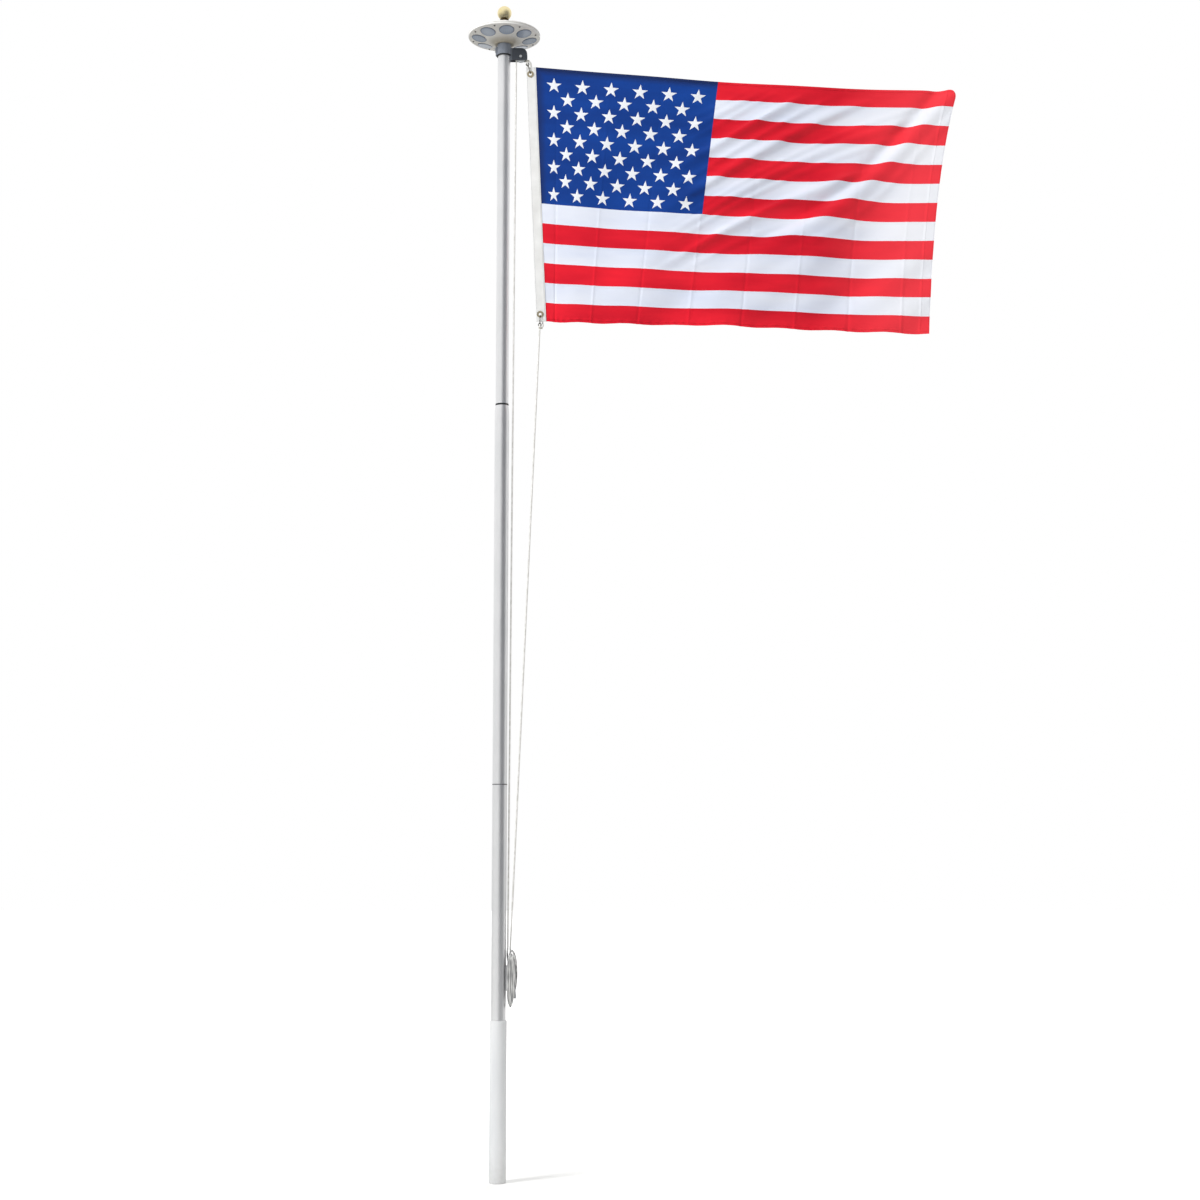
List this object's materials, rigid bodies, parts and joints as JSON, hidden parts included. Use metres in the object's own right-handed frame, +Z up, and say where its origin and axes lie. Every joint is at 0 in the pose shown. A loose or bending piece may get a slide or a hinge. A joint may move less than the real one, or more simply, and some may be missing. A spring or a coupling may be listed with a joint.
{
  "type": "flagpole",
  "caption": "Sectional aluminium flagpole in a ground sleeve, with pulley truck, round solar light, ball finial, halyard on a cleat and a hoisted flag.",
  "frame": {"origin": "centre of the ground sleeve's flat bottom face", "axes": "+Z up along the pole; +X from the pole towards the pulley, the cleat and the flag's fly; the cleat and the pulley lie in the X-Z plane"},
  "size_m": [1.7425, 0.255, 4.0856],
  "materials": {
    "pole_aluminium": "satin",
    "pvc": "smooth extruded",
    "grey_ring": "moulded",
    "black_rubber": "matt",
    "pale_silicone": "matt",
    "truck_nylon": "moulded",
    "sheave_nylon": "moulded",
    "zinc_steel": "zinc plated",
    "dark_steel": "blackened",
    "light_housing": "moulded, weathered",
    "lens": "clear polycarbonate over the lamps",
    "solar_cells": "cells under clear cover",
    "gold": "anodised",
    "bronze": "darkened",
    "cast_cleat": "cast",
    "rope": "braided",
    "nickel_plate": "nickel plated",
    "grommet_brass": "pressed",
    "canvas": "woven canvas",
    "flag_nylon": "woven nylon"
  },
  "bodies": {
    "pole": {"sleeve_end_cap": "pvc", "ground_sleeve": "pvc", "lower_tube": "pole_aluminium", "lower_joint_ring": "grey_ring", "middle_tube": "pole_aluminium", "upper_joint_ring": "black_rubber", "top_tube": "pole_aluminium", "truck_body": "truck_nylon", "truck_seal": "black_rubber", "truck_clamp_screw": "zinc_steel", "sheave_axle": "zinc_steel", "axle_nut": "zinc_steel", "light_pan": "light_housing", "rim_gasket": "pale_silicone", "light_dome": "light_housing", "lamp_lenses": "lens", "pan_screws": "dark_steel", "solar_panel": "solar_cells", "finial_spindle": "zinc_steel", "finial_stem": "gold", "finial_collar": "bronze", "finial_ball": "gold", "cleat": "cast_cleat", "cleat_screws": "zinc_steel", "hoisting_line": "rope", "hoist_line": "rope", "downhaul_line": "rope", "upper_rope_loop": "rope", "lower_rope_loop": "rope", "halyard_hank": "rope", "upper_snap_hook": "nickel_plate", "lower_snap_hook": "nickel_plate", "upper_snap_gate": "nickel_plate", "lower_snap_gate": "nickel_plate", "upper_grommet": "grommet_brass", "lower_grommet": "grommet_brass", "flag_heading": "canvas", "flag_cloth": "flag_nylon"},
    "pulley_wheel": {"sheave": "sheave_nylon"}
  },
  "joints": [
    {"name": "pulley_spin", "type": "hinge", "parent": "pole", "child": "pulley_wheel", "pos_m": [0.0591, 0, 3.896], "axis": [0, 1, 0], "continuous": true}
  ]
}
